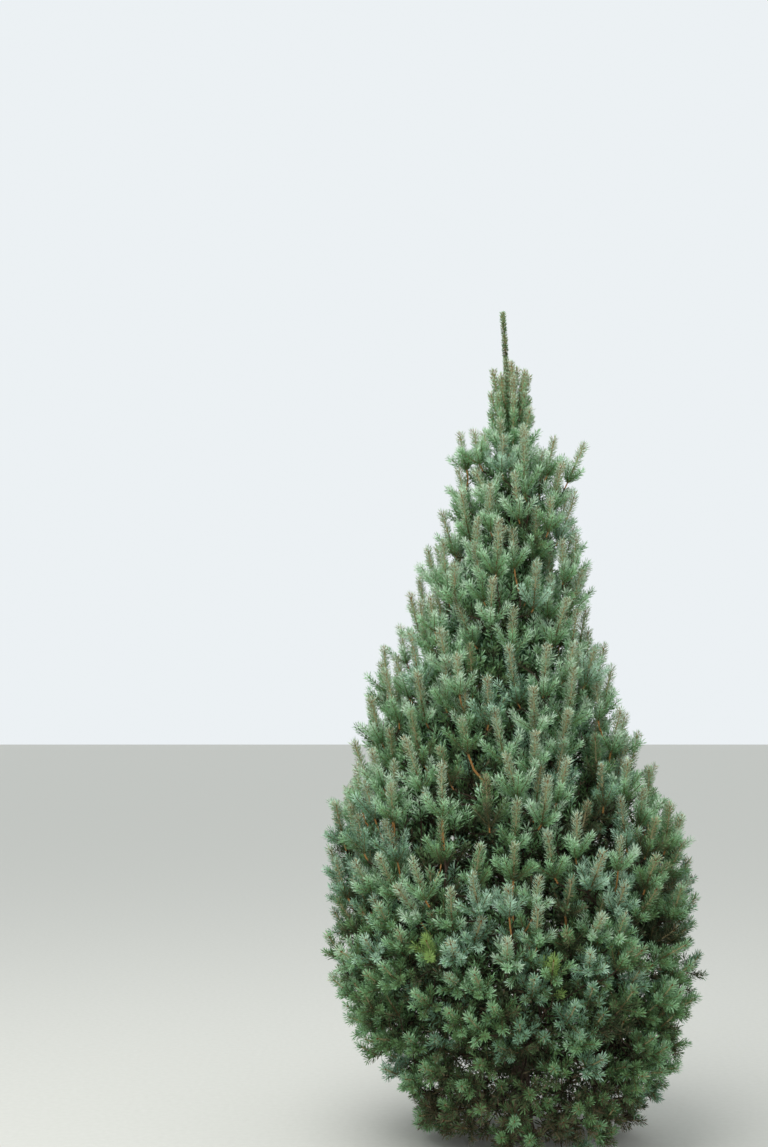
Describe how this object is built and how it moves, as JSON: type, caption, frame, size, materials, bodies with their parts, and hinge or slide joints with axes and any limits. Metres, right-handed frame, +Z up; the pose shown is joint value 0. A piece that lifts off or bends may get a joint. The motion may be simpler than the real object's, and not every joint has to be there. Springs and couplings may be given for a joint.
{
  "type": "spruce tree",
  "caption": "Narrow upswept blue spruce with a plumb trunk, whorled boughs, dense masses of needles down to the ground and a slim leading shoot.",
  "frame": {"origin": "centre of the trunk's flat cut at ground level", "axes": "+Z up the trunk, +Y the way the picture looks, +X to the picture's right"},
  "size_m": [1.422, 1.4451, 3.2],
  "materials": {
    "trunk_bark": "matt",
    "bough_bark": "matt",
    "needles": "matt"
  },
  "bodies": {
    "root": {"trunk": "trunk_bark", "bough_1a": "bough_bark", "foliage_1a": "needles", "bough_1b": "bough_bark", "foliage_1b": "needles", "bough_1c": "bough_bark", "foliage_1c": "needles", "bough_1d": "bough_bark", "foliage_1d": "needles", "bough_1e": "bough_bark", "foliage_1e": "needles", "bough_2a": "bough_bark", "foliage_2a": "needles", "bough_2b": "bough_bark", "foliage_2b": "needles", "bough_2c": "bough_bark", "foliage_2c": "needles", "bough_2d": "bough_bark", "foliage_2d": "needles", "bough_2e": "bough_bark", "foliage_2e": "needles", "bough_3a": "bough_bark", "foliage_3a": "needles", "bough_3b": "bough_bark", "foliage_3b": "needles", "bough_3c": "bough_bark", "foliage_3c": "needles", "bough_3d": "bough_bark", "foliage_3d": "needles", "bough_3e": "bough_bark", "foliage_3e": "needles", "bough_4a": "bough_bark", "foliage_4a": "needles", "bough_4b": "bough_bark", "foliage_4b": "needles", "bough_4c": "bough_bark", "foliage_4c": "needles", "bough_4d": "bough_bark", "foliage_4d": "needles", "bough_4e": "bough_bark", "foliage_4e": "needles", "foliage_5a": "needles", "foliage_5b": "needles", "foliage_5c": "needles", "foliage_5d": "needles", "foliage_5e": "needles", "foliage_6a": "needles", "foliage_6b": "needles", "foliage_6c": "needles", "foliage_6d": "needles", "foliage_6e": "needles", "foliage_7a": "needles", "foliage_7b": "needles", "foliage_7c": "needles", "foliage_7d": "needles", "foliage_8a": "needles", "foliage_8b": "needles", "foliage_8c": "needles", "foliage_8d": "needles", "foliage_top": "needles"}
  },
  "joints": []
}
